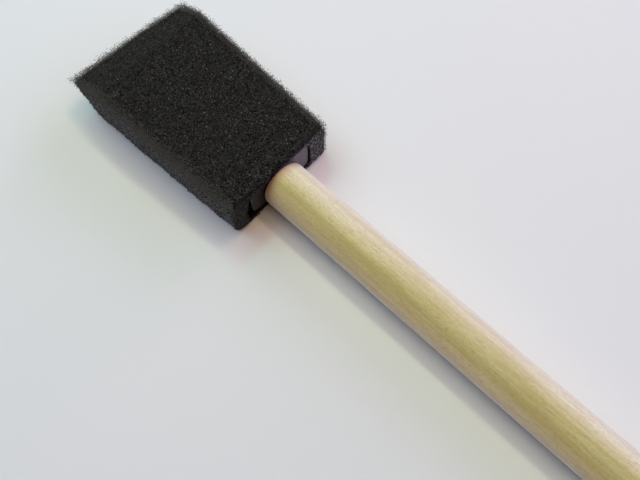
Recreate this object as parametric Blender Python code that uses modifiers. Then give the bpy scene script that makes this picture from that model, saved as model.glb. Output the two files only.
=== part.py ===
"""A one-inch foam sponge brush: foam head, plastic core, wooden dowel and the adhesive between them.

Blender 4.5, metres, +Z up. The brush lies flat on Z = 0. +X runs from the dowel's far end to the foam's tip,
+Y is to the left of that, and the origin is on the resting plane under the middle of the brush's length.
"""

import math

import bmesh
import bpy

GAP = 0.0003  # clearance between neighbouring pieces

HANDLE_RADIUS = 0.00436
HANDLE_LENGTH = 0.1143
HANDLE_EDGE_RADIUS = 0.00106
BORE_RADIUS = 0.0030
BORE_DEPTH = 0.0200
BORE_CHAMFER = 0.0003

FOAM_LENGTH = 0.0401
FOAM_BACK_WIDTH = 0.0223
FOAM_TIP_WIDTH = 0.0254
FOAM_BACK_THICKNESS = 0.0093
FOAM_THICKNESS = 0.0106
UPPER_BEVEL_LENGTH = 0.0076
LOWER_BEVEL_LENGTH = 0.0043
TIP_HEIGHT = 0.0073
TIP_SKEW = 0.0010  # the tip edge is cut a little askew: the left corner leads, the right one trails
FOAM_EDGE_ROUNDING = 0.0004

COLLAR_WIDTH = 0.0147
COLLAR_HEIGHT = 0.0070
COLLAR_CORNER_RADIUS = 0.0016
COLLAR_DEPTH = 0.0050
COLLAR_EDGE_ROUNDING = 0.0004

BLADE_LENGTH = 0.0270
BLADE_ROOT_WIDTH = 0.0140
BLADE_TIP_WIDTH = 0.0120
BLADE_ROOT_THICKNESS = 0.0022
BLADE_TIP_THICKNESS = 0.0012
BLADE_WINDOW_RADIUS = 0.0020
BLADE_WINDOW_REACH = (0.0095, 0.0185)  # from the collar's front to the windows' centres
BLADE_FILM_INSET = 0.0010  # how far a film stops short of the blade's edges

STEM_RADIUS = 0.0019
STEM_BARB_RADIUS = 0.0026
STEM_BARB_LENGTH = 0.0014
STEM_BARB_REACH = (0.0035, 0.0065, 0.0095)  # from the collar's back to each barb's shoulder
STEM_LENGTH = 0.0180
STEM_CHAMFER = 0.0004

GLUE_THICKNESS = 0.0003
STEM_GLUE_LENGTH = 0.0065

# The brush's middle is at X = 0, and the collar and the foam share one back plane, at SEAT_X.
OVERALL_LENGTH = HANDLE_LENGTH + GAP + FOAM_LENGTH + TIP_SKEW
TIP_X = OVERALL_LENGTH / 2 - TIP_SKEW
SEAT_X = TIP_X - FOAM_LENGTH
AXIS_Z = HANDLE_RADIUS  # dowel and foam both rest on Z = 0
BLADE_ROOT_X = SEAT_X + COLLAR_DEPTH
BLADE_TIP_X = BLADE_ROOT_X + BLADE_LENGTH


def clear_scene():
    for obj in list(bpy.data.objects):
        bpy.data.objects.remove(obj, do_unlink=True)


def new_collection(name):
    collection = bpy.data.collections.new(name)
    bpy.context.scene.collection.children.link(collection)
    return collection


def new_material(name, colour, roughness):
    material = bpy.data.materials.new(name)
    material.use_nodes = True
    shader = material.node_tree.nodes["Principled BSDF"]
    shader.inputs["Base Color"].default_value = (*colour, 1.0)
    shader.inputs["Roughness"].default_value = roughness
    shader.inputs["Metallic"].default_value = 0.0
    return material


def new_object(name, bm, collection):
    """Turns a bmesh into an object of this collection and frees the bmesh."""
    mesh = bpy.data.meshes.new(name)
    bm.to_mesh(mesh)
    bm.free()
    obj = bpy.data.objects.new(name, mesh)
    collection.objects.link(obj)
    return obj


def as_helper(obj):
    """Marks an object that only shapes another one."""
    obj.hide_render = True
    obj.display_type = "WIRE"
    return obj


def combine(obj, other, operation):
    boolean = obj.modifiers.new(f"{operation.lower()} {other.name}", "BOOLEAN")
    boolean.operation = operation
    boolean.solver = "EXACT"
    boolean.object = as_helper(other)


def tapered_slab(name, collection, ends, centre_z):
    """A flat slab along X. Each end is (x, half width, lowest, highest), with heights from centre_z."""
    bm = bmesh.new()
    bmesh.ops.create_cube(bm, size=2)
    for vert in bm.verts:
        x, half_width, low, high = ends[vert.co.x > 0]
        height = high if vert.co.z > 0 else low
        vert.co = (x, math.copysign(half_width, vert.co.y), centre_z + height)
    return new_object(name, bm, collection)


def rounded_bar(name, collection, x_range, width, height, corner_radius, rim_rounding=0.0):
    """A bar along X whose section is a rectangle with rounded corners."""
    bm = bmesh.new()
    bmesh.ops.create_cube(bm, size=1)
    for vert in bm.verts:
        vert.co = (x_range[vert.co.x > 0], vert.co.y * width, AXIS_Z + vert.co.z * height)
    long_edges = [e for e in bm.edges if abs(e.verts[0].co.x - e.verts[1].co.x) > GAP]
    bmesh.ops.bevel(bm, geom=long_edges, offset=corner_radius, segments=6, profile=0.5, affect="EDGES")
    if rim_rounding:
        rim = [e for e in bm.edges if all(abs(v.co.x - x_range[0]) < 1e-6 for v in e.verts)]
        bmesh.ops.bevel(bm, geom=rim, offset=rim_rounding, segments=3, profile=0.5, affect="EDGES")
    return new_object(name, bm, collection)


def turned(name, collection, profile, front_x, steps):
    """Turns a profile of (radius, distance ahead of front_x) about the dowel's axis."""
    bm = bmesh.new()
    verts = [bm.verts.new((radius, 0, ahead)) for radius, ahead in profile]
    for upper, lower in zip(verts, verts[1:]):
        bm.edges.new((upper, lower))
    obj = new_object(name, bm, collection)
    obj.location = (front_x, 0, AXIS_Z)
    obj.rotation_euler = (0, math.pi / 2, 0)
    screw = obj.modifiers.new("Screw", "SCREW")
    screw.axis = "Z"
    screw.steps = screw.render_steps = steps
    screw.use_merge_vertices = True
    screw.merge_threshold = 0.00001
    screw.use_smooth_shade = True
    return obj


def arc(centre_radius, centre_ahead, radius, start_degrees, end_degrees, count):
    """Points of a profile's rounded edge. 0 degrees points away from the axis, 90 degrees ahead."""
    points = []
    for i in range(count + 1):
        angle = math.radians(start_degrees + (end_degrees - start_degrees) * i / count)
        points.append((centre_radius + radius * math.cos(angle), centre_ahead + radius * math.sin(angle)))
    return points


def foam_half_width(ahead):
    """Half the foam's width, this far ahead of its back face: it flares towards the tip."""
    share = ahead / FOAM_LENGTH
    return (FOAM_BACK_WIDTH + (FOAM_TIP_WIDTH - FOAM_BACK_WIDTH) * share) / 2


def foam_block(collection):
    """The wedge-tipped block: its side outline drawn on one side, carried across, then flared."""
    outline = [
        (0.0, 0.0),
        (FOAM_LENGTH - LOWER_BEVEL_LENGTH, 0.0),
        (FOAM_LENGTH, TIP_HEIGHT),
        (FOAM_LENGTH - UPPER_BEVEL_LENGTH, FOAM_THICKNESS),
        (0.0, FOAM_BACK_THICKNESS),
    ]
    bm = bmesh.new()
    side = bm.faces.new([bm.verts.new((ahead, -1, height)) for ahead, height in outline])
    swept = bmesh.ops.extrude_face_region(bm, geom=[side])
    for vert in [v for v in swept["geom"] if isinstance(v, bmesh.types.BMVert)]:
        vert.co.y = 1
    for vert in bm.verts:
        side_sign = math.copysign(1, vert.co.y)
        skew = side_sign * TIP_SKEW if vert.co.x > FOAM_LENGTH - GAP else 0.0
        vert.co.y = side_sign * foam_half_width(vert.co.x)
        vert.co.x += SEAT_X + skew
    bmesh.ops.recalc_face_normals(bm, faces=bm.faces)
    return new_object("foam_head", bm, collection)


def foam_head(collection, helpers):
    """The foam block with the slit for the core: a pocket for the collar, then a flat one for the blade."""
    foam = foam_block(collection)
    bevel = foam.modifiers.new("soft edges", "BEVEL")
    bevel.width = FOAM_EDGE_ROUNDING
    bevel.segments = 2
    pocket = rounded_bar(
        "collar_pocket",
        helpers,
        (SEAT_X - 0.002, BLADE_ROOT_X + GAP),
        COLLAR_WIDTH + 2 * GAP,
        COLLAR_HEIGHT + 2 * GAP,
        COLLAR_CORNER_RADIUS + GAP,
    )
    margin = 2 * GAP + GLUE_THICKNESS
    root_half = BLADE_ROOT_THICKNESS / 2 + margin
    tip_half = BLADE_TIP_THICKNESS / 2 + margin
    ends = (
        (BLADE_ROOT_X - 0.001, BLADE_ROOT_WIDTH / 2 + GAP, -root_half, root_half),
        (BLADE_TIP_X + GAP, BLADE_TIP_WIDTH / 2 + GAP, -tip_half, tip_half),
    )
    slit = tapered_slab("blade_slit", helpers, ends, AXIS_Z)
    combine(foam, pocket, "DIFFERENCE")
    combine(foam, slit, "DIFFERENCE")
    return foam


def stem_profile():
    """The stem from inside the collar to its chamfered end, with saw-tooth barbs that hold in the bore."""
    points = [(0.0, COLLAR_DEPTH / 2), (STEM_RADIUS, COLLAR_DEPTH / 2)]
    for reach in STEM_BARB_REACH:
        points += [(STEM_RADIUS, -reach), (STEM_BARB_RADIUS, -reach - 0.0001)]
        points += [(STEM_RADIUS, -reach - STEM_BARB_LENGTH)]
    points += [(STEM_RADIUS, -STEM_LENGTH + STEM_CHAMFER), (STEM_RADIUS - STEM_CHAMFER, -STEM_LENGTH)]
    return points + [(0.0, -STEM_LENGTH)]


def blade_window(name, collection, x):
    """A round window through the blade, which the adhesive bridges."""
    bm = bmesh.new()
    radius = BLADE_WINDOW_RADIUS
    bmesh.ops.create_cone(bm, cap_ends=True, segments=24, radius1=radius, radius2=radius, depth=0.006)
    window = new_object(name, bm, collection)
    window.location = (x, 0, AXIS_Z)
    return window


def plastic_core(collection, helpers):
    """One moulding: a flat collar in the foam's mouth, a blade ahead of it and a barbed stem behind it."""
    core = rounded_bar(
        "plastic_core",
        collection,
        (SEAT_X, BLADE_ROOT_X),
        COLLAR_WIDTH,
        COLLAR_HEIGHT,
        COLLAR_CORNER_RADIUS,
        rim_rounding=COLLAR_EDGE_ROUNDING,
    )
    root_half, tip_half = BLADE_ROOT_THICKNESS / 2, BLADE_TIP_THICKNESS / 2
    ends = (
        (BLADE_ROOT_X - 0.001, BLADE_ROOT_WIDTH / 2, -root_half, root_half),
        (BLADE_TIP_X, BLADE_TIP_WIDTH / 2, -tip_half, tip_half),
    )
    combine(core, tapered_slab("blade", helpers, ends, AXIS_Z), "UNION")
    combine(core, turned("stem", helpers, stem_profile(), SEAT_X, 24), "UNION")
    for i, reach in enumerate(BLADE_WINDOW_REACH, start=1):
        combine(core, blade_window(f"blade_window_{i}", helpers, BLADE_ROOT_X + reach), "DIFFERENCE")
    return core


def blade_glue(name, collection, side):
    """The film over one face of the blade. side is 1 above the blade and -1 below it."""
    ends = []
    for x, width, thickness in (
        (BLADE_ROOT_X + 2 * GAP, BLADE_ROOT_WIDTH, BLADE_ROOT_THICKNESS),
        (BLADE_TIP_X - BLADE_FILM_INSET, BLADE_TIP_WIDTH, BLADE_TIP_THICKNESS),
    ):
        near = side * (thickness / 2 + GAP)
        far = near + side * GLUE_THICKNESS
        ends.append((x, width / 2 - BLADE_FILM_INSET, min(near, far), max(near, far)))
    return tapered_slab(name, collection, ends, AXIS_Z)


def stem_glue(collection):
    """The cup of adhesive that fills the bottom of the bore and holds the stem's end."""
    bottom = -BORE_DEPTH  # the bore starts a gap behind the collar, so it ends a gap behind this
    lip = bottom + STEM_GLUE_LENGTH
    floor = -STEM_LENGTH - GAP
    inner = STEM_RADIUS + GAP
    outer = BORE_RADIUS - GAP
    profile = [(0.0, floor), (inner, floor), (inner, lip), (outer, lip), (outer, bottom), (0.0, bottom)]
    return turned("stem_glue", collection, profile, SEAT_X, 24)


def wood_handle(collection):
    """The dowel: both end edges rounded, and a blind bore with a chamfered mouth in its front end."""
    radius, edge = HANDLE_RADIUS, HANDLE_EDGE_RADIUS
    profile = [
        (0.0, -BORE_DEPTH),
        (BORE_RADIUS, -BORE_DEPTH),
        (BORE_RADIUS, -BORE_CHAMFER),
        (BORE_RADIUS + BORE_CHAMFER, 0.0),
    ]
    profile += arc(radius - edge, -edge, edge, 90, 0, 5)
    profile += arc(radius - edge, -HANDLE_LENGTH + edge, edge, 0, -90, 5)
    profile.append((0.0, -HANDLE_LENGTH))
    return turned("wood_handle", collection, profile, SEAT_X - GAP, 48)


def finish(obj, material):
    obj.data.materials.append(material)
    obj.data.shade_smooth()
    obj.data.set_sharp_from_angle(angle=math.radians(30))


def main():
    clear_scene()
    brush = new_collection("foam_sponge_brush")
    helpers = new_collection("cutters")
    foam_colour = new_material("black foam", (0.045, 0.045, 0.047), 0.95)
    plastic_colour = new_material("dark grey plastic", (0.075, 0.073, 0.080), 0.45)
    wood_colour = new_material("bare wood", (0.78, 0.60, 0.40), 0.60)
    film_colour = new_material("clear film adhesive", (0.70, 0.64, 0.48), 0.30)
    plug_colour = new_material("pale plug adhesive", (0.80, 0.76, 0.62), 0.35)
    finish(foam_head(brush, helpers), foam_colour)
    finish(plastic_core(brush, helpers), plastic_colour)
    finish(wood_handle(brush), wood_colour)
    finish(blade_glue("blade_glue_upper", brush, 1), film_colour)
    finish(blade_glue("blade_glue_lower", brush, -1), film_colour)
    finish(stem_glue(brush), plug_colour)


main()
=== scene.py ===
"""Looks for the foam sponge brush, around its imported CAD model. Metres, +X to the foam's tip, +Z up."""

import itertools
import math

import bmesh
import bpy
import numpy as np
from mathutils import Matrix, Vector


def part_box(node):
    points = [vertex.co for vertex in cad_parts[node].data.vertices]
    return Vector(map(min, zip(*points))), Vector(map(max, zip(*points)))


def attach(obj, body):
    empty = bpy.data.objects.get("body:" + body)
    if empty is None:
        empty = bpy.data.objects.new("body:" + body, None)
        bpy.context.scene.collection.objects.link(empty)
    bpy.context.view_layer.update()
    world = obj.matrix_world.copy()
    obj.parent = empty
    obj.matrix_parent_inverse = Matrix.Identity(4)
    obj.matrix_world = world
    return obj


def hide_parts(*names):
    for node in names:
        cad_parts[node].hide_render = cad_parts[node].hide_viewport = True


MM = 0.001
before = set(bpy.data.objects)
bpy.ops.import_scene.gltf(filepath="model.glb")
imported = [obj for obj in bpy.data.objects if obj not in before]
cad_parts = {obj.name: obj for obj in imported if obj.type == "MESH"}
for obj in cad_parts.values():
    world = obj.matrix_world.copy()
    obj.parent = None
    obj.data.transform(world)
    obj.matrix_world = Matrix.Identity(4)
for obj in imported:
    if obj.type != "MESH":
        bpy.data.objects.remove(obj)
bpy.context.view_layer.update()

# Places, from the frame.
foam_low, foam_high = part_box("foam_head")
core_low, core_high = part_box("plastic_core")
handle_low, handle_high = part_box("wood_handle")
SEAT_X = foam_low.x  # the plane where collar, foam and dowel meet
AXIS_Z = (handle_low.z + handle_high.z) / 2

# The foam, as it is cut, in the same sizes as its CAD solid.
FOAM_BACK_X = SEAT_X - 0.3 * MM  # the lips stand a little proud of the collar
FOAM_LENGTH = 40.4 * MM
FOAM_BACK_WIDTH = 22.3 * MM
FOAM_TIP_WIDTH = 25.4 * MM
FOAM_BACK_THICKNESS = 9.3 * MM
FOAM_THICKNESS = 10.6 * MM
UPPER_BEVEL_LENGTH = 7.6 * MM
LOWER_BEVEL_LENGTH = 4.3 * MM
TIP_HEIGHT = 7.3 * MM
TIP_SKEW = 1.0 * MM
SIDE_SHIFT = {1: -0.10 * MM, -1: 0.20 * MM}  # left, right: the block is cut a little off centre
SIDE_BULGE = {1: 0.20 * MM, -1: 0.0}
TIP_BOW = 0.30 * MM
BACK, SIDE, TOP, UNDER = range(4)  # the block's faces: the bevels count with the top and the underside
EDGE_REACH = {  # how far from the edge between two faces the foam starts to look solid
    (BACK, SIDE): 1.0 * MM,
    (BACK, TOP): 0.75 * MM,
    (BACK, UNDER): 0.4 * MM,
    (SIDE, TOP): 1.6 * MM,
    (SIDE, UNDER): 0.25 * MM,
    (TOP, UNDER): 1.6 * MM,
}
UNDER_KINK_REACH = 0.3 * MM  # the same where the lower bevel starts
LEAST_WEB_REACH = 0.8 * MM  # an edge with less has no web of struts
FRINGE = 0.75 * MM  # the web's last struts stand this far out
FRINGE_THINNING = 1.6  # the larger, the fewer of them stand far out
WORN_FRINGE = 0.1 * MM  # on the back's left edge the web ends this far inside the block's faces
WEB_SINK = 0.12 * MM  # how far the web reaches into the skin's rounded edges
WEB_LEAST_HEIGHT = 0.5 * MM

CELL_SIZE = 0.36 * MM
FOAM_VOXEL = 0.125 * MM
PORE_DEPTH = 0.26 * MM
STRUT_SHARE = 0.16  # of the skin's faces on the walls between cells, the share that grow into a strut
STRUT_LENGTH = 0.42 * MM
STRUT_LEAN = 0.55  # how far it leans from the skin's normal, at random
STRUT_TAPER = 0.38  # its tip's width as a share of its foot's
STRUT_LEAST_HEIGHT = 0.3 * MM  # none grows from skin that is lower
WALL_PORE = 0.45  # a face less deep in a pit than this share lies on a wall between cells
WEB_CELL = 0.50 * MM  # the spacing of the web's cells: one at each corner of a grid, one in each middle
WEB_JITTER = 0.42  # how far a corner of a web cell strays, in quarters of WEB_CELL
WEB_STRUT_RADIUS = 0.030 * MM

# The skin's unevenness: the distance it changes over, and its height.
ROUGHNESS = (0.16 * MM, 0.05 * MM)
LUMPS = (0.55 * MM, 0.10 * MM)  # on cut sides only
WAVES = (4 * MM, 0.07 * MM)
JITTER = 0.10 * MM  # the range that each of the skin's points strays in
PIT_RANGE = (0.04, 0.34)  # its rim and floor: how much nearer one cell centre is, in CELL_SIZE
STEEP_RANGE = (0.25, 0.85)  # of the normal's upright part, from a cut side to the smoother top
BACK_SHADE_SHARE = 0.78  # how much of a cut side's lumps and painted sheen is taken away on the back's left and middle, which leaves painted shade there
BACK_SHADE_REACH = (-5.0 * MM, -1.0 * MM)  # across the back, from none of this painted shade to all of it
SHADED_RING = (0.45 * MM, 0.80 * MM)  # out from the dowel, where its shade starts to fade and ends
SHADED_PORE = 1.2  # the value stored in the slit and in the dowel's shade, more than any pit's: there the foam is painted black as painted shade
LEAST_HEIGHT = 0.02 * MM  # no point of the foam lies lower

SLIT_HALF_WIDTHS = (7.3 * MM, 6.3 * MM)  # at its start and its end: room for the blade and its adhesive
SLIT_HALF_HEIGHTS = (2.0 * MM, 1.5 * MM)
SLIT_LENGTH = 27.3 * MM  # beyond the collar
NOTCH_GAP = 0.28 * MM  # from the dowel's side
NOTCH_DEPTH = 0.4 * MM
MOUTH_DEPTHS = (0.15 * MM, 0.35 * MM)  # left, right: the slit's inside starts this far in
MOUTH_REACH = (1.2 * MM, 0.35 * MM)  # across, up: a wall further from the collar counts as outside
SOLID_TIP = 7 * MM  # the slit ends before this last stretch

COLLAR_DEPTH = 5.0 * MM
COLLAR_CORNER_RADIUS = 1.6 * MM
COLLAR_EDGE_ROUNDING = 0.4 * MM
COLLAR_LEFT_INSET = 0.4 * MM  # the foam gapes at its left edge, which sits this far in

BLADE_LENGTH = 27.0 * MM
BLADE_HALF_WIDTHS = (7.0 * MM, 6.0 * MM)  # at its root and its tip
BLADE_HALF_THICKNESSES = (1.1 * MM, 0.6 * MM)
BLADE_EDGE_ROUNDING = 0.25 * MM
BLADE_WINDOW_RADIUS = 2.0 * MM
BLADE_WINDOW_REACH = (9.5 * MM, 18.5 * MM)
STEM_RADIUS = 1.9 * MM
STEM_BARB_RADIUS = 2.6 * MM
STEM_BARB_LENGTH = 1.4 * MM
STEM_BARB_REACH = (3.5 * MM, 6.5 * MM, 9.5 * MM)
COLLAR_WIDTH = core_high.y - core_low.y
COLLAR_HEIGHT = core_high.z - core_low.z

HANDLE_RADIUS = (handle_high.z - handle_low.z) / 2
HANDLE_EDGE_RADIUS = 1.06 * MM
BORE_RADIUS = 3.0 * MM
BORE_DEPTH = 20.0 * MM
HANDLE_GAP = 0.02 * MM  # between the dowel's end and the collar

CAMERA_AZIMUTH = 134.29  # degrees
CAMERA_ELEVATION = 68.48
CAMERA_ROLL = -0.95
CAMERA_TARGET = Vector((SEAT_X - 13.41 * MM, 3.90 * MM, 6.0 * MM))
CAMERA_DISTANCE = 117.66 * MM
CAMERA_SENSOR = 36.0  # millimetres, as the lens is
CAMERA_LENS = 39.375

LAMP_WATTS = 10  # for a strength of 1 from a distance of 1 metre
FLOOR_REACH = 1.5  # metres: half the table top's width, and the wall's radius
ROOM_GLOW = 0.62  # of the wall, and of the floor far from the brush


# ---------------------------------------------------------------- mesh helpers


def new_object(name, mesh):
    obj = bpy.data.objects.new(name, mesh)
    bpy.context.scene.collection.objects.link(obj)
    return obj


def object_from_bmesh(name, bm):
    mesh = bpy.data.meshes.new(name)
    bm.to_mesh(mesh)
    bm.free()
    return new_object(name, mesh)


def evaluated_mesh(obj):
    """The object's mesh with its modifiers applied, as a new mesh."""
    graph = bpy.context.evaluated_depsgraph_get()
    return bpy.data.meshes.new_from_object(obj.evaluated_get(graph))


def apply_modifiers(obj):
    mesh = evaluated_mesh(obj)
    obj.modifiers.clear()
    obj.data = mesh


def read_points(mesh):
    points = np.empty(len(mesh.vertices) * 3)
    mesh.vertices.foreach_get("co", points)
    return points.reshape(-1, 3)


def write_points(mesh, points):
    mesh.vertices.foreach_set("co", points.ravel())
    mesh.update()


def read_normals(mesh):
    normals = np.empty(len(mesh.vertices) * 3)
    mesh.vertex_normals.foreach_get("vector", normals)
    return normals.reshape(-1, 3)


def smooth_step(values, low, high):
    share = np.clip((values - low) / (high - low), 0, 1)
    return share * share * (3 - 2 * share)


def random_table(seed, width):
    """Random numbers for the cubes of a grid, which repeat every 64 cubes."""
    return np.random.default_rng(seed).random((64, 64, 64, width))


def cell_distances(points, spacing, seed):
    """The distances from each point to the nearest two cell centres, and a random number of the nearest
    cell. There is one centre, somewhere in each cube of a grid."""
    table = random_table(seed, 4)
    home = np.floor(points / spacing).astype(int)
    first = np.full(len(points), np.inf)
    second = np.full(len(points), np.inf)
    chance = np.zeros(len(points))
    for offset in itertools.product((-1, 0, 1), repeat=3):
        cube = home + offset
        drawn = table[tuple((cube % 64).T)]
        distance = np.linalg.norm(points - (cube + drawn[:, :3]) * spacing, axis=1)
        closer = distance < first
        second = np.where(closer, first, np.minimum(second, distance))
        chance = np.where(closer, drawn[:, 3], chance)
        first = np.where(closer, distance, first)
    return first, second, chance


def value_noise(points, spacing, seed):
    """Smooth noise from -1 to 1 that changes over this distance."""
    table = random_table(seed, 1)[..., 0]
    scaled = points / spacing
    home = np.floor(scaled).astype(int)
    share = scaled - home
    share = share * share * (3 - 2 * share)
    total = np.zeros(len(points))
    for corner in itertools.product((0, 1), repeat=3):
        weight = np.prod(np.where(corner, share, 1 - share), axis=1)
        total += weight * table[tuple(((home + corner) % 64).T)]
    return total * 2 - 1


# ---------------------------------------------------------------- foam head


def foam_half_width(ahead):
    share = ahead / FOAM_LENGTH
    return (FOAM_BACK_WIDTH + (FOAM_TIP_WIDTH - FOAM_BACK_WIDTH) * share) / 2


def foam_block():
    """The wedge-tipped block before its slit is cut, without the cells along its edges that are open."""
    outline = [
        (0.0, 0.0),
        (FOAM_LENGTH - LOWER_BEVEL_LENGTH, 0.0),
        (FOAM_LENGTH, TIP_HEIGHT),
        (FOAM_LENGTH - UPPER_BEVEL_LENGTH, FOAM_THICKNESS),
        (0.0, FOAM_BACK_THICKNESS),
    ]
    bm = bmesh.new()
    side = bm.faces.new([bm.verts.new((ahead, -1, height)) for ahead, height in outline])
    swept = bmesh.ops.extrude_face_region(bm, geom=[side])
    for vert in [v for v in swept["geom"] if isinstance(v, bmesh.types.BMVert)]:
        vert.co.y = 1
    for vert in bm.verts:
        sign = math.copysign(1, vert.co.y)
        skew = sign * TIP_SKEW if vert.co.x > FOAM_LENGTH - 0.1 * MM else 0.0
        vert.co.y = sign * (foam_half_width(vert.co.x) + SIDE_SHIFT[sign])
        vert.co.x += FOAM_BACK_X + skew
    bmesh.ops.recalc_face_normals(bm, faces=bm.faces)
    weight = bm.edges.layers.float.new("bevel_weight_edge")
    longest = max(EDGE_REACH.values())
    for edge in bm.edges:
        edge[weight] = block_edge_reach(edge) / longest
    block = object_from_bmesh("foam_head_skin", bm)
    bevel = block.modifiers.new("open edges", "BEVEL")
    bevel.width = longest
    bevel.segments = 4
    bevel.limit_method = "WEIGHT"
    apply_modifiers(block)
    return block


def block_edge_reach(edge):
    """EDGE_REACH of one of the block's edges, or 0 for the faint kink where the upper bevel starts."""
    faces = tuple(sorted(face_kind(face) for face in edge.link_faces))
    return EDGE_REACH.get(faces, UNDER_KINK_REACH if faces == (UNDER, UNDER) else 0.0)


def face_kind(face):
    if abs(face.normal.y) > 0.7:
        return SIDE
    if face.normal.x < -0.7:
        return BACK
    return TOP if face.normal.z > 0 else UNDER


def prism(name, x_range, section):
    """A bar along X with this section: (y, z) points in order round it, z measured from the dowel's axis."""
    bm = bmesh.new()
    end = bm.faces.new([bm.verts.new((x_range[0], y, AXIS_Z + z)) for y, z in section])
    swept = bmesh.ops.extrude_face_region(bm, geom=[end])
    for vert in [v for v in swept["geom"] if isinstance(v, bmesh.types.BMVert)]:
        vert.co.x = x_range[1]
    bmesh.ops.recalc_face_normals(bm, faces=bm.faces)
    return object_from_bmesh(name, bm)


def collar_pocket():
    """The hole that the collar sits in. The foam hugs the collar above and below and gapes beside it, most
    at the left, where the mouth is pulled open."""
    side, half = COLLAR_WIDTH / 2, COLLAR_HEIGHT / 2
    section = [
        (-side - 0.10 * MM, -half + 0.6 * MM),
        (-side + 1.2 * MM, -half - 0.12 * MM),
        (side - 0.6 * MM, -half - 0.15 * MM),
        (side + 0.75 * MM, -half + 0.3 * MM),
        (side + 0.80 * MM, 0.0),
        (side + 0.45 * MM, 1.6 * MM),
        (side - 0.10 * MM, half + 0.05 * MM),
        (side - 1.5 * MM, half + 0.30 * MM),
        (-side + 3.5 * MM, half + 0.80 * MM),
        (-side + 1.4 * MM, half + 0.60 * MM),
        (-side + 0.1 * MM, half - 0.1 * MM),
        (-side - 0.12 * MM, half - 1.6 * MM),
        (-side - 0.12 * MM, 0.0),
    ]
    return prism("pocket", (FOAM_BACK_X - 2 * MM, SEAT_X + COLLAR_DEPTH + 0.3 * MM), section)


def flat_slit():
    """The slit for the blade and its adhesive, which tapers towards the tip as they do."""
    bm = bmesh.new()
    bmesh.ops.create_cube(bm, size=2)
    for vert in bm.verts:
        ahead = vert.co.x > 0
        x = SEAT_X + (COLLAR_DEPTH - MM, COLLAR_DEPTH + SLIT_LENGTH)[ahead]
        y = vert.co.y * SLIT_HALF_WIDTHS[ahead]
        vert.co = (x, y, AXIS_Z + vert.co.z * SLIT_HALF_HEIGHTS[ahead])
    return object_from_bmesh("flat_slit", bm)


def dowel_notch():
    """The shallow round seat that the dowel's end presses into the foam's lips."""
    bm = bmesh.new()
    radius = HANDLE_RADIUS + NOTCH_GAP
    turn = Matrix.Translation((FOAM_BACK_X, 0, AXIS_Z)) @ Matrix.Rotation(math.pi / 2, 4, "Y")
    depth = 2 * NOTCH_DEPTH  # half of it lies behind the foam's back
    bmesh.ops.create_cone(
        bm, cap_ends=True, segments=64, radius1=radius, radius2=radius, depth=depth, matrix=turn
    )
    return object_from_bmesh("dowel_notch", bm)


def combine(obj, other, operation):
    boolean = obj.modifiers.new(other.name, "BOOLEAN")
    boolean.operation = operation
    boolean.solver = "EXACT"
    boolean.object = other
    apply_modifiers(obj)
    bpy.data.objects.remove(other)


def remesh_evenly(obj, voxel):
    remesh = obj.modifiers.new("even mesh", "REMESH")
    remesh.mode = "VOXEL"
    remesh.voxel_size = voxel
    apply_modifiers(obj)


def in_slit(points):
    """1 on the walls of the slit, from just inside its mouth, and 0 on the foam's outside. The wall starts
    to count sooner at the left, where the mouth gapes."""
    ahead = points[:, 0] - FOAM_BACK_X
    inside = np.abs(points[:, 1]) < COLLAR_WIDTH / 2 + MOUTH_REACH[0]
    half = COLLAR_HEIGHT / 2 + MOUTH_REACH[1]
    mouth = np.where(points[:, 1] > 0, *MOUTH_DEPTHS)
    deep = (ahead > mouth) & (ahead < FOAM_LENGTH - SOLID_TIP)
    return (deep & inside & (np.abs(points[:, 2] - AXIS_Z) < half)).astype(float)


def back_shade_and_smoothing(points):
    """1 on the left and middle of the foam's back, fading out to the right. There the sides' lumps and
    painted sheen are cut back, which paints that part darker as painted shade.
    """
    at_back = 1 - smooth_step(points[:, 0] - FOAM_BACK_X, 0.2 * MM, 1.0 * MM)
    return at_back * smooth_step(points[:, 1], *BACK_SHADE_REACH)


def beside_dowel(points):
    """1 on the part of the foam's back that the dowel's end shades, fading out at the ring round it."""
    from_axis = np.hypot(points[:, 1], points[:, 2] - AXIS_Z)
    at_back = points[:, 0] < FOAM_BACK_X + 1.0 * MM
    fade, end = (HANDLE_RADIUS + reach for reach in SHADED_RING)
    return at_back * (1 - smooth_step(from_axis, fade, end))


def edge_depths(points):
    """How far a point is inside the nearest and the second nearest face of the sharp-edged block, and
    EDGE_REACH of the edge between the two."""
    ahead = points[:, 0] - FOAM_BACK_X
    half_width = foam_half_width(ahead) + np.where(points[:, 1] > 0, SIDE_SHIFT[1], SIDE_SHIFT[-1])
    across = np.clip(points[:, 1] / half_width, -1, 1)
    lead = TIP_SKEW * across + TIP_BOW * np.cos(across * math.pi / 2)
    past_kink = ahead - (FOAM_LENGTH - UPPER_BEVEL_LENGTH)
    rise = (FOAM_THICKNESS - FOAM_BACK_THICKNESS) / (FOAM_LENGTH - UPPER_BEVEL_LENGTH)
    upper_slope = (FOAM_THICKNESS - TIP_HEIGHT) / (UPPER_BEVEL_LENGTH + lead)
    lower_slope = TIP_HEIGHT / (LOWER_BEVEL_LENGTH + lead)
    below_top = FOAM_THICKNESS + past_kink * rise - points[:, 2]
    below_bevel = (FOAM_THICKNESS - past_kink * upper_slope - points[:, 2]) / np.hypot(1, upper_slope)
    past_lower = ahead - (FOAM_LENGTH - LOWER_BEVEL_LENGTH)
    above_bevel = (points[:, 2] - past_lower * lower_slope) / np.hypot(1, lower_slope)
    side = half_width + side_bulge(ahead / FOAM_LENGTH, across)
    faces = np.stack(
        [
            ahead,
            side - np.abs(points[:, 1]),
            np.minimum(below_top, below_bevel),
            np.minimum(points[:, 2], above_bevel),
        ]
    )
    order = np.argsort(faces, axis=0)
    nearest, second = np.take_along_axis(faces, order[:2], axis=0)
    table = np.zeros((4, 4))
    for (first, other), reach in EDGE_REACH.items():
        table[first, other] = table[other, first] = reach
    return nearest, second, table[order[0], order[1]]


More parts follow.
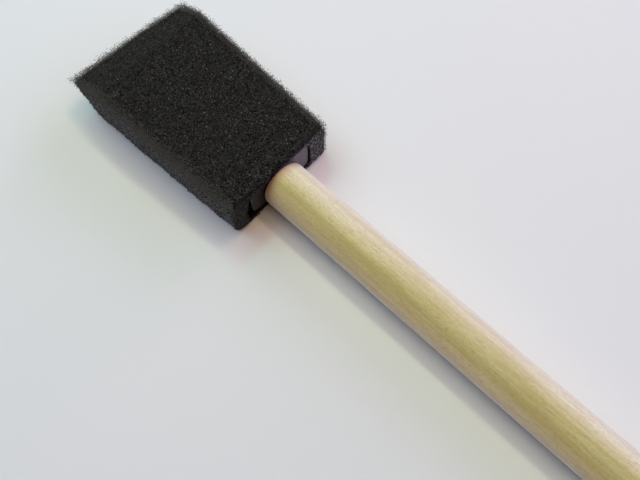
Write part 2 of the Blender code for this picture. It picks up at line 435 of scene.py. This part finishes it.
def side_bulge(share, across):
    """How far a point moves out, at this share of the foam's length and of its half width."""
    most = np.where(across > 0, SIDE_BULGE[1], SIDE_BULGE[-1])
    return most * np.sin(math.pi * np.clip(share, 0, 1)) * across**4


def swell(points):
    """The sides swell a little between the back and the tip, and the tip's edge bows forward."""
    share = np.clip((points[:, 0] - FOAM_BACK_X) / FOAM_LENGTH, 0, 1)
    across = points[:, 1] / (FOAM_TIP_WIDTH / 2)
    points[:, 1] += np.sign(across) * side_bulge(share, across)
    points[:, 0] += TIP_BOW * np.cos(across * math.pi / 2) * smooth_step(share, 0.6, 1.0)
    return points


def open_the_cells(mesh):
    """Sinks a pit in the skin at each foam cell, leaves the walls between them standing and roughens it all.
    Stores for the material how deep in a pit each point is, which is painted as shade, how much its face
    leans towards a side, which sets the sides' painted sheen, and how close to an open edge it is, which
    sets the painted edge light. The slit's walls and the dowel's shade are stored deeper than any pit, and
    are painted black as shade."""
    points, normals = swell(read_points(mesh)), read_normals(mesh)
    hidden = in_slit(points)
    # cut sides: they get lumps, and the material paints them lighter as painted sheen
    steep = 1 - smooth_step(np.abs(normals[:, 2]), *STEEP_RANGE)
    # painted shade: the back's left and middle lose some painted sheen, and are smoothed
    steep *= 1 - BACK_SHADE_SHARE * back_shade_and_smoothing(points)
    first, second, chance = cell_distances(points, CELL_SIZE, seed=3)
    nearer = (second - first) / CELL_SIZE
    pit = smooth_step(nearer, *PIT_RANGE)
    rough = value_noise(points, ROUGHNESS[0], seed=5)
    lumps = value_noise(points, LUMPS[0], seed=9) * steep
    large = value_noise(points, WAVES[0], seed=7)
    depth = PORE_DEPTH * pit * (0.55 + 0.9 * chance) * (1 - 0.8 * hidden)
    uneven = ROUGHNESS[1] * rough + LUMPS[1] * lumps + WAVES[1] * large
    height = -depth + uneven * (1 - hidden)
    jitter = np.random.default_rng(11).random(points.shape) - 0.5
    points = points + normals * height[:, None] + jitter * JITTER * (1 - hidden)[:, None]
    points[:, 2] = np.maximum(points[:, 2], LEAST_HEIGHT)
    write_points(mesh, points)
    _, second, reach = edge_depths(points)
    # painted light: close to open edges the foam is painted lighter
    painted_edge_light = (1 - smooth_step(second, 0, 1.5 * MM)) * (reach > LEAST_WEB_REACH) * (1 - hidden)
    steep *= smooth_step(second, -0.2 * MM, 0.7 * MM) * (1 - hidden)
    # painted shade: the slit's walls and the ring beside the dowel are painted black
    painted_shade_mask = np.maximum(hidden, beside_dowel(points))
    add_attributes(mesh, pore=np.maximum(pit, SHADED_PORE * painted_shade_mask), steep=steep, edge=painted_edge_light)


def add_attributes(mesh, **values):
    for name, numbers in values.items():
        mesh.attributes.new(name, "FLOAT", "POINT").data.foreach_set("value", numbers)


def read_attribute(mesh, name):
    values = np.empty(len(mesh.vertices))
    mesh.attributes[name].data.foreach_get("value", values)
    return values


def quads_and_others(mesh):
    """The vertex numbers of each four-sided face, as an array, and of each other face, as a list."""
    corners = np.empty(len(mesh.loops), int)
    starts, sizes = np.empty(len(mesh.polygons), int), np.empty(len(mesh.polygons), int)
    mesh.loops.foreach_get("vertex_index", corners)
    mesh.polygons.foreach_get("loop_start", starts)
    mesh.polygons.foreach_get("loop_total", sizes)
    quads = corners[starts[sizes == 4][:, None] + np.arange(4)]
    return quads, [corners[a : a + n] for a, n in zip(starts[sizes != 4], sizes[sizes != 4])]


def grow_strut_ends(mesh):
    """Grows cut strut ends out of the skin: a face on a wall between cells becomes a thin leaning spike."""
    points, normals = read_points(mesh), read_normals(mesh)
    quads, others = quads_and_others(mesh)
    old = {name: read_attribute(mesh, name) for name in ("pore", "steep", "edge")}
    rng = np.random.default_rng(17)
    middle = points[quads].mean(axis=1)
    wanted = (old["pore"][quads].mean(axis=1) < WALL_PORE) & (in_slit(middle) == 0)
    wanted &= (middle[:, 2] > STRUT_LEAST_HEIGHT) & (rng.random(len(quads)) < STRUT_SHARE)
    grown, kept = quads[wanted], quads[~wanted]
    way = normals[grown].mean(axis=1) + STRUT_LEAN * rng.normal(size=(len(grown), 3))
    way /= np.linalg.norm(way, axis=1)[:, None]
    length = STRUT_LENGTH * (0.25 + 0.75 * rng.random(len(grown)))
    tops = middle[wanted] + way * length[:, None]
    tips = tops[:, None, :] + (points[grown] - middle[wanted][:, None, :]) * STRUT_TAPER
    tips[..., 2] = np.maximum(tips[..., 2], LEAST_HEIGHT)
    new = len(points) + np.arange(grown.size).reshape(grown.shape)
    turns = [(i, (i + 1) % 4) for i in range(4)]
    sides = [np.stack([grown[:, i], grown[:, j], new[:, j], new[:, i]], axis=1) for i, j in turns]
    faces = np.concatenate([kept, new, *sides])
    for name, values in old.items():
        ends = 0 if name == "pore" else 1
        old[name] = np.concatenate([values, np.repeat(values[grown].mean(axis=1) * ends, 4)])
    return np.concatenate([points, tips.reshape(-1, 3)]), faces, others, old


def web_nodes():
    """The corners of 14-sided cells stacked to fill the block, where they lie along its open edges: their
    places, and their numbers in a grid four times finer than the cells."""
    step = WEB_CELL / 4
    low = np.array([FOAM_BACK_X, foam_low.y - MM, foam_low.z])
    shape = np.ceil((np.array(foam_high) + MM - low) / step).astype(int)
    rest = np.indices(shape, dtype=np.int16) % 4
    corner = ((rest == 0).sum(axis=0) == 1) & ((rest == 2).sum(axis=0) == 1)
    spots = np.argwhere(corner)
    rng = np.random.default_rng(23)
    points = low + (spots + rng.normal(scale=WEB_JITTER, size=spots.shape)) * step
    nearest, second, reach = edge_depths(points)
    off = [np.clip(reach - depth, 0, None) for depth in (nearest, second)]
    outside_core = (np.hypot(*off) > reach - WEB_SINK) & (second < reach)
    ragged = nearest > -FRINGE * rng.random(len(points)) ** FRINGE_THINNING
    keep = (reach > LEAST_WEB_REACH) & outside_core & ragged & (points[:, 2] > WEB_LEAST_HEIGHT)
    worn_round = (reach == EDGE_REACH[BACK, SIDE]) & (points[:, 1] > 0)
    keep &= ~worn_round | (nearest > WORN_FRINGE)
    return points[keep], spots[keep], shape


def web_struts():
    """Pairs of web corners with a strut between them."""
    points, spots, shape = web_nodes()
    number = np.full(shape, -1)
    number[tuple(spots.T)] = np.arange(len(spots))
    pairs = []
    for way in ((1, 1, 0), (1, -1, 0), (1, 0, 1), (1, 0, -1), (0, 1, 1), (0, 1, -1)):
        there = spots + way
        inside = ((there >= 0) & (there < shape)).all(axis=1)
        other = np.where(inside, number[tuple(np.where(inside[:, None], there, 0).T)], -1)
        pairs.append(np.stack([np.arange(len(spots)), other], axis=1)[other >= 0])
    return points, np.concatenate(pairs)


def three_sided_struts(points, pairs, radius):
    """A closed three-sided prism along each pair of points: all their corners, quads and end triangles."""
    start, end = points[pairs[:, 0]], points[pairs[:, 1]]
    along = end - start
    along /= np.linalg.norm(along, axis=1)[:, None]
    across = np.cross(along, np.where(np.abs(along[:, :1]) > 0.7, (0.0, 1.0, 0.0), (1.0, 0.0, 0.0)))
    across /= np.linalg.norm(across, axis=1)[:, None]
    upward = np.cross(along, across)
    rings = []
    for base, shift in ((start, -1), (end, 1)):
        for turn in range(3):
            angle = turn * 2 * math.pi / 3
            corner = across * math.cos(angle) + upward * math.sin(angle)
            rings.append(base + radius * corner + shift * 0.4 * radius * along)
    corners = np.stack(rings, axis=1)
    first = np.arange(len(pairs))[:, None] * 6
    quads = [first + (i, (i + 1) % 3, (i + 1) % 3 + 3, i + 3) for i in range(3)]
    ends = np.concatenate([first + (2, 1, 0), first + (3, 4, 5)])
    return corners.reshape(-1, 3), np.concatenate(quads), ends


def with_open_edges(mesh):
    """The skin with its strut ends, and the web of struts that fills out its open edges."""
    points, quads, others, values = grow_strut_ends(mesh)
    corners, web_quads, web_ends = three_sided_struts(*web_struts(), WEB_STRUT_RADIUS)
    faces = [*map(tuple, np.concatenate([quads, web_quads + len(points)])), *map(tuple, others)]
    faces += map(tuple, web_ends + len(points))
    fresh = bpy.data.meshes.new(mesh.name)
    fresh.from_pydata(np.concatenate([points, corners]), [], faces)
    # the web's struts get half the sides' painted sheen and all of the edges' painted light
    web = {"pore": 0.0, "steep": 0.5, "edge": 1.0}
    more = {name: np.full(len(corners), web[name]) for name in values}
    add_attributes(fresh, **{name: np.concatenate([values[name], more[name]]) for name in values})
    return fresh


def foam_head():
    foam = foam_block()
    for cutter in (collar_pocket(), flat_slit(), dowel_notch()):
        combine(foam, cutter, "DIFFERENCE")
    remesh_evenly(foam, FOAM_VOXEL)
    open_the_cells(foam.data)
    foam.data = with_open_edges(foam.data)
    foam.data.shade_smooth()
    return foam


# ---------------------------------------------------------------- dowel and core


def arc(centre_radius, centre_ahead, radius, start_degrees, end_degrees, count):
    points = []
    for i in range(count + 1):
        angle = math.radians(start_degrees + (end_degrees - start_degrees) * i / count)
        points.append((centre_radius + radius * math.cos(angle), centre_ahead + radius * math.sin(angle)))
    return points


def turned(name, profile, front_x, steps):
    """Turns a profile of (radius, distance ahead of front_x) about the dowel's axis."""
    bm = bmesh.new()
    verts = [bm.verts.new((ahead, radius, 0)) for radius, ahead in profile]
    edges = [bm.edges.new(pair) for pair in zip(verts, verts[1:])]
    bmesh.ops.spin(
        bm,
        geom=verts + edges,
        cent=(0, 0, 0),
        axis=(1, 0, 0),
        angle=2 * math.pi,
        steps=steps,
        use_merge=True,
    )
    bmesh.ops.remove_doubles(bm, verts=bm.verts, dist=0.001 * MM)
    bmesh.ops.recalc_face_normals(bm, faces=bm.faces)
    bmesh.ops.translate(bm, verts=bm.verts, vec=(front_x, 0, AXIS_Z))
    return object_from_bmesh(name, bm)


def stem_profile():
    """The stem from inside the collar to its chamfered end, with saw-tooth barbs that hold in the bore."""
    end, chamfer = core_low.x - SEAT_X, 0.4 * MM
    points = [(0.0, COLLAR_DEPTH / 2), (STEM_RADIUS, COLLAR_DEPTH / 2)]
    for reach in STEM_BARB_REACH:
        points += [(STEM_RADIUS, -reach), (STEM_BARB_RADIUS, -reach - 0.1 * MM)]
        points += [(STEM_RADIUS, -reach - STEM_BARB_LENGTH)]
    return points + [(STEM_RADIUS, end + chamfer), (STEM_RADIUS - chamfer, end), (0.0, end)]


def blade():
    """The stiffener in the slit: a slab that tapers to its tip, with softened edges."""
    bm = bmesh.new()
    bmesh.ops.create_cube(bm, size=2)
    root = SEAT_X + COLLAR_DEPTH
    for vert in bm.verts:
        end = int(vert.co.x > 0)
        y, z = vert.co.y * BLADE_HALF_WIDTHS[end], vert.co.z * BLADE_HALF_THICKNESSES[end]
        vert.co = ((root - MM, root + BLADE_LENGTH)[end], y, AXIS_Z + z)
    rounding = BLADE_EDGE_ROUNDING
    bmesh.ops.bevel(bm, geom=bm.edges, offset=rounding, segments=3, profile=0.5, affect="EDGES")
    return object_from_bmesh("blade", bm)


def blade_window(reach):
    bm = bmesh.new()
    radius = BLADE_WINDOW_RADIUS
    bmesh.ops.create_cone(bm, cap_ends=True, segments=48, radius1=radius, radius2=radius, depth=6 * MM)
    bmesh.ops.translate(bm, verts=bm.verts, vec=(SEAT_X + COLLAR_DEPTH + reach, 0, AXIS_Z))
    return object_from_bmesh("window", bm)


def plastic_core():
    """The moulding: a flat collar with rounded edges, the blade ahead of it and the stem behind."""
    bm = bmesh.new()
    bmesh.ops.create_cube(bm, size=1)
    for vert in bm.verts:
        x = SEAT_X + COLLAR_DEPTH * (vert.co.x > 0)
        inset = COLLAR_LEFT_INSET if vert.co.y > 0 else 0.0
        vert.co = (x, vert.co.y * COLLAR_WIDTH - inset, AXIS_Z + vert.co.z * COLLAR_HEIGHT)
    long_edges = [e for e in bm.edges if abs(e.verts[0].co.x - e.verts[1].co.x) > MM]
    radius = COLLAR_CORNER_RADIUS
    bmesh.ops.bevel(bm, geom=long_edges, offset=radius, segments=12, profile=0.5, affect="EDGES")
    rim = [e for e in bm.edges if all(v.co.x < SEAT_X + 0.1 * MM for v in e.verts)]
    bmesh.ops.bevel(bm, geom=rim, offset=COLLAR_EDGE_ROUNDING, segments=5, profile=0.5, affect="EDGES")
    core = object_from_bmesh("plastic_core_skin", bm)
    combine(core, blade(), "UNION")
    combine(core, turned("stem", stem_profile(), SEAT_X, 64), "UNION")
    for reach in BLADE_WINDOW_REACH:
        combine(core, blade_window(reach), "DIFFERENCE")
    core.data.shade_smooth()
    core.data.set_sharp_from_angle(angle=math.radians(35))
    return core


def wood_handle():
    """The dowel, its front end all but touching the collar."""
    front_x = SEAT_X - HANDLE_GAP
    length = front_x - handle_low.x
    radius, edge = HANDLE_RADIUS, HANDLE_EDGE_RADIUS
    profile = [(0.0, -BORE_DEPTH), (BORE_RADIUS, -BORE_DEPTH), (BORE_RADIUS, 0.0)]
    profile += arc(radius - edge, -edge, edge, 90, 0, 10)
    profile += [(radius, -length * i / 60) for i in range(1, 60)]
    profile += arc(radius - edge, -length + edge, edge, 0, -90, 10)
    profile.append((0.0, -length))
    handle = turned("wood_handle_skin", profile, front_x, 96)
    handle.data.shade_smooth()
    return handle


# ---------------------------------------------------------------- materials


class Shader:
    """A material's node tree, with short calls for the nodes that this script uses."""

    def __init__(self, name):
        self.material = bpy.data.materials.new(name)
        self.material.use_nodes = True
        self.tree = self.material.node_tree
        self.surface = self.tree.nodes["Principled BSDF"]

    def node(self, kind, **settings):
        made = self.tree.nodes.new(kind)
        for name, value in settings.items():
            setattr(made, name, value)
        return made

    def plug(self, value, socket):
        """Links an output to a socket, or sets the socket to a plain value."""
        if isinstance(value, bpy.types.NodeSocket):
            self.tree.links.new(value, socket)
        else:
            socket.default_value = value

    def position(self, scale=(1, 1, 1)):
        """The place on the object, in millimetres, stretched by scale."""
        mapping = self.node("ShaderNodeMapping")
        self.plug(self.node("ShaderNodeTexCoord").outputs["Object"], mapping.inputs["Vector"])
        self.plug(tuple(1000 * s for s in scale), mapping.inputs["Scale"])
        return mapping.outputs["Vector"]

    def noise(self, where, scale, detail=2.0, roughness=0.5, distortion=0.0):
        made = self.node("ShaderNodeTexNoise")
        self.plug(where, made.inputs["Vector"])
        self.plug(scale, made.inputs["Scale"])
        self.plug(detail, made.inputs["Detail"])
        self.plug(roughness, made.inputs["Roughness"])
        self.plug(distortion, made.inputs["Distortion"])
        return made.outputs["Fac"]

    def along(self, axis):
        """The place along this axis, in millimetres."""
        split = self.node("ShaderNodeSeparateXYZ")
        self.plug(self.position(), split.inputs[0])
        return split.outputs[axis]

    def attribute(self, name):
        return self.node("ShaderNodeAttribute", attribute_name=name).outputs["Fac"]

    def math(self, operation, first, second=0.0, clamp=False):
        made = self.node("ShaderNodeMath", operation=operation, use_clamp=clamp)
        self.plug(first, made.inputs[0])
        self.plug(second, made.inputs[1])
        return made.outputs[0]

    def ramp(self, value, low, high, start=0.0, end=1.0):
        """value, moved from the range low to high into the range start to end."""
        made = self.node("ShaderNodeMapRange", interpolation_type="SMOOTHSTEP")
        for socket, number in zip(made.inputs, (value, low, high, start, end)):
            self.plug(number, socket)
        return made.outputs["Result"]

    def mix(self, share, first, second, blend="MIX"):
        made = self.node("ShaderNodeMix", data_type="RGBA", blend_type=blend)
        self.plug(share, made.inputs["Factor"])
        for socket, colour in ((made.inputs[6], first), (made.inputs[7], second)):
            self.plug(colour if isinstance(colour, bpy.types.NodeSocket) else (*colour, 1.0), socket)
        return made.outputs[2]

    def bump(self, height, distance, strength=1.0):
        made = self.node("ShaderNodeBump")
        self.plug(strength, made.inputs["Strength"])
        self.plug(distance, made.inputs["Distance"])
        self.plug(height, made.inputs["Height"])
        self.plug(made.outputs["Normal"], self.surface.inputs["Normal"])

    def set(self, **inputs):
        for name, value in inputs.items():
            self.plug(value, self.surface.inputs[name.replace("_", " ")])
        return self.material


def foam_material():
    """Black polyurethane foam: dark grey struts, pits painted near black as painted shade, and a few struts
    painted pale as painted highlights. Cut sides are painted lighter as painted sheen and open edges as
    painted light, so they look greyer than the top; the slit's walls and the dowel's shade are painted
    black."""
    s = Shader("black open-cell foam")
    place = s.position()
    steep, pore = s.attribute("steep"), s.attribute("pore")
    # painted shade: black on the slit's walls and beside the dowel
    painted_shade = s.ramp(pore, 1.02, 1.10)
    patches = s.noise(place, 0.25, detail=3)
    grain = s.noise(place, 5.5, detail=2)
    # painted highlights: scattered struts painted pale grey
    painted_glints = s.noise(place, 3.1, detail=1)
    struts = s.mix(patches, (0.009, 0.0085, 0.008), (0.018, 0.017, 0.016))
    struts = s.mix(s.ramp(grain, 0.53, 0.64, 0.0, 0.85), struts, (0.078, 0.074, 0.071))
    # painted sheen: cut sides are painted lighter grey
    painted_sheen_struts = s.mix(s.ramp(grain, 0.42, 0.60), (0.040, 0.038, 0.037), (0.372, 0.356, 0.348))
    struts = s.mix(s.math("MULTIPLY", steep, 0.9), struts, painted_sheen_struts)
    # painted light: struts close to open edges are painted lighter
    struts = s.mix(s.math("MULTIPLY", s.attribute("edge"), 0.75), struts, (0.116, 0.112, 0.096))
    struts = s.mix(s.ramp(painted_glints, 0.70, 0.76, 0.0, 0.9), struts, (0.30, 0.30, 0.31))
    # painted shade: pits are painted near black
    colour = s.mix(s.ramp(pore, 0.10, 0.75, 0.0, 0.92), struts, (0.002, 0.002, 0.002))
    colour = s.mix(painted_shade, colour, (0.004, 0.004, 0.004))
    return s.set(
        Base_Color=colour,
        Roughness=0.45,
        Specular_IOR_Level=0.13,
        Sheen_Weight=0.05,
        Sheen_Roughness=0.35,
        Sheen_Tint=(0.4, 0.4, 0.4, 1.0),
    )


def wood_material():
    """Bare birch-like wood: straw yellow, soft growth bands, short dark dashes of pore and a fine raised
    grain whose fuzz whitens it at a glance. Across the dowel its colour is painted light and shade: paler
    and bluer on the right flank, yellower and darker left of the middle, redder on the left flank, and its
    front end is painted a dark red-brown as painted shade."""
    s = Shader("bare pale wood")
    bands = s.noise(s.position((0.03, 0.6, 0.6)), 0.9, detail=3, roughness=0.6, distortion=0.4)
    streaks = s.noise(s.position((0.05, 1.3, 1.3)), 3.0, detail=4, roughness=0.7)
    dashes = s.noise(s.position((0.35, 3.0, 3.0)), 2.2, detail=2, roughness=0.6)
    pores = s.noise(s.position((0.7, 5.0, 5.0)), 2.6, detail=1)
    colour = s.mix(s.ramp(bands, 0.35, 0.65), (0.75, 0.675, 0.40), (0.615, 0.53, 0.245))
    colour = s.mix(s.ramp(streaks, 0.35, 0.70, 0.0, 0.35), colour, (0.53, 0.41, 0.19))
    colour = s.mix(s.ramp(dashes, 0.53, 0.66, 0.0, 0.45), colour, (0.43, 0.34, 0.17))
    colour = s.mix(s.ramp(pores, 0.58, 0.68, 0.0, 0.50), colour, (0.34, 0.26, 0.14))
    # painted light and shade across the dowel: paler and bluer on the right flank, yellower and darker left
    # of the middle, redder on the left flank
    side = s.along("Y")
    painted_light_and_shade = s.mix(s.ramp(side, 1.6, 4.0), (0.90, 0.88, 0.72), (1.12, 1.01, 0.96))
    painted_light_and_shade = s.mix(s.ramp(side, -2.0, 1.2, 1.0, 0.0), painted_light_and_shade, (1.07, 1.10, 1.38))
    colour = s.mix(1.0, colour, painted_light_and_shade, "MULTIPLY")
    end = 1000 * SEAT_X
    # painted shade: towards the collar the dowel's end darkens to a red-brown
    colour = s.mix(s.ramp(s.along("X"), end - 2.4, end - 0.3, 0.0, 0.80), colour, (0.38, 0.17, 0.10))
    s.bump(s.math("ADD", streaks, dashes), 0.03 * MM, 0.7)
    return s.set(
        Base_Color=colour,
        Roughness=s.ramp(streaks, 0.3, 0.7, 0.50, 0.66),
        Specular_IOR_Level=0.3,
        Sheen_Weight=1.0,
        Sheen_Roughness=0.45,
        Sheen_Tint=(0.88, 0.80, 1.0, 1.0),
    )


def plastic_material():
    """Black moulded plastic with a fine, slightly uneven satin skin. Its bare back face is painted grey
    towards the right as painted light, and the rest is painted black inside the foam as painted shade."""
    s = Shader("dark grey moulded plastic")
    cloud = s.noise(s.position(), 0.6, detail=3)
    fine = s.noise(s.position(), 9.0, detail=2)
    colour = s.mix(cloud, (0.012, 0.010, 0.011), (0.022, 0.018, 0.020))
    # painted light: grey towards the right end
    colour = s.mix(s.ramp(s.along("Y"), -5.0, 2.5, 1.0, 0.0), colour, (0.122, 0.115, 0.129))
    end = 1000 * SEAT_X
    # painted shade: black from just ahead of the back face, inside the foam
    colour = s.mix(s.ramp(s.along("X"), end + 0.15, end + 0.5), colour, (0.006, 0.006, 0.006))
    s.bump(fine, 0.01 * MM, 0.4)
    rough = s.ramp(fine, 0.3, 0.7, 0.34, 0.46)
    return s.set(Base_Color=colour, Roughness=rough, Specular_IOR_Level=0.4)


def adhesive_material(name, tint):
    """Dried adhesive: pale, a little cloudy and glossy."""
    s = Shader(name)
    cloud = s.noise(s.position(), 0.8, detail=3)
    colour = s.mix(cloud, tint, tuple(0.8 * c for c in tint))
    return s.set(Base_Color=colour, Roughness=s.ramp(cloud, 0.3, 0.7, 0.25, 0.40))


def floor_material():
    """A pale matt table top. Away from the brush the rest of the room lights it, as a faint glow."""
    s = Shader("pale table top")
    cloud = s.noise(s.position(), 0.01, detail=2)
    colour = s.mix(cloud, (0.760, 0.775, 0.797), (0.780, 0.790, 0.808))
    away = s.node("ShaderNodeVectorMath", operation="LENGTH")
    s.plug(s.position(), away.inputs[0])
    return s.set(
        Base_Color=colour,
        Roughness=1.0,
        Specular_IOR_Level=0.0,
        Emission_Color=colour,
        Emission_Strength=s.ramp(away.outputs["Value"], 200, 900, 0.0, ROOM_GLOW),
    )


def backdrop_material():
    """The pale wall of the room, which glows evenly."""
    s = Shader("pale studio wall")
    cloud = s.noise(s.position(), 0.001, detail=2)
    colour = s.mix(cloud, (0.74, 0.765, 0.80), (0.76, 0.78, 0.81))
    return s.set(Base_Color=colour, Roughness=0.9, Emission_Color=colour, Emission_Strength=ROOM_GLOW)


def give(obj, material):
    obj.data.materials.clear()
    obj.data.materials.append(material)


# ---------------------------------------------------------------- stage


def camera():
    """Stands above the handle's left side and looks down at the foam's back."""
    azimuth = math.radians(CAMERA_AZIMUTH)
    elevation = math.radians(CAMERA_ELEVATION)
    roll = math.radians(CAMERA_ROLL)
    flat = Vector((math.cos(azimuth), math.sin(azimuth), 0)) * math.cos(elevation)
    back = flat + Vector((0, 0, math.sin(elevation)))
    right = (-back).cross(Vector((0, 0, 1))).normalized()
    up = back.cross(right)
    turned_right = right * math.cos(roll) + up * math.sin(roll)
    turned_up = up * math.cos(roll) - right * math.sin(roll)
    cam = bpy.data.objects.new("camera", bpy.data.cameras.new("camera"))
    bpy.context.scene.collection.objects.link(cam)
    cam.data.sensor_width = CAMERA_SENSOR
    cam.data.lens = CAMERA_LENS
    cam.data.clip_start = 5 * MM
    turn = Matrix((turned_right, turned_up, back)).transposed().to_4x4()
    cam.matrix_world = Matrix.Translation(CAMERA_TARGET + back * CAMERA_DISTANCE) @ turn
    bpy.context.scene.camera = cam


def area_light(name, direction, distance, spread, strength):
    """A square light in this direction from the foam's back, turned to face it. spread is its width as seen
    from there, in radians, and strength sets how much it lights things there, as red, green and blue."""
    light = bpy.data.lights.new(name, "AREA")
    light.shape = "SQUARE"
    light.size = spread * distance
    light.energy = LAMP_WATTS * max(strength) * distance**2
    light.color = [value / max(strength) for value in strength]
    obj = bpy.data.objects.new(name, light)
    bpy.context.scene.collection.objects.link(obj)
    direction = Vector(direction).normalized()
    obj.location = Vector((SEAT_X, 0, 0)) + direction * distance
    obj.rotation_mode = "QUATERNION"
    obj.rotation_quaternion = direction.to_track_quat("Z", "Y")


def floor():
    bm = bmesh.new()
    bmesh.ops.create_grid(bm, x_segments=8, y_segments=8, size=FLOOR_REACH)
    plane = object_from_bmesh("table_top", bm)
    give(plane, floor_material())


def backdrop():
    """A round wall far behind the table, which only shows in low views and lights nothing."""
    bm = bmesh.new()
    bmesh.ops.create_cone(bm, segments=96, radius1=FLOOR_REACH, radius2=FLOOR_REACH, depth=2 * FLOOR_REACH)
    wall = object_from_bmesh("studio_wall", bm)
    wall.data.shade_smooth()
    wall.visible_diffuse = False
    wall.visible_glossy = False
    wall.visible_shadow = False
    give(wall, backdrop_material())


def lighting():
    world = bpy.data.worlds.new("room")
    world.use_nodes = True
    background = world.node_tree.nodes["Background"]
    background.inputs["Color"].default_value = (0.025, 0.011, 0.010, 1.0)
    background.inputs["Strength"].default_value = 1.0
    bpy.context.scene.world = world
    area_light("lamp", (0, -4.2, 9.3), 0.45, 0.10, (0.150, 0.108, 0.069))
    area_light("low_window", (0, -9.3, 4), 0.6, 0.5, (0.300, 0.244, 0.412))
    area_light("side_window", (-6.5, -6.5, 4.4), 0.6, 0.6, (0.150, 0.165, 0.275))
    area_light("second_lamp", (5.2, -4.1, 9.3), 0.7, 0.05, (0.022, 0.093, 0.055))
    area_light("soft_box", (9, 0, 9.3), 0.45, 0.8, (0.345, 0.440, 0.370))
    area_light("far_soft_box", (6, 4, 9.3), 0.6, 0.8, (0.064, 0.112, 0.227))
    area_light("overhead_soft_box", (0, 0, 9.3), 0.5, 1.0, (0.195, 0.135, 0.092))
    area_light("near_soft_box", (-1, -1, 9.3), 0.30, 0.8, (0.200, 0.157, 0.118))
    bpy.context.scene.view_settings.view_transform = "Standard"


def build():
    camera()
    lighting()
    floor()
    backdrop()
    foam = foam_head()
    give(foam, foam_material())
    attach(foam, "root")
    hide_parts("foam_head")
    handle = wood_handle()
    give(handle, wood_material())
    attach(handle, "root")
    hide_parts("wood_handle")
    core = plastic_core()
    give(core, plastic_material())
    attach(core, "root")
    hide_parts("plastic_core")
    film = adhesive_material("clear film adhesive", (0.70, 0.64, 0.48))
    give(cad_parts["blade_glue_upper"], film)
    give(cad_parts["blade_glue_lower"], film)
    give(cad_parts["stem_glue"], adhesive_material("pale plug adhesive", (0.80, 0.76, 0.62)))


build()
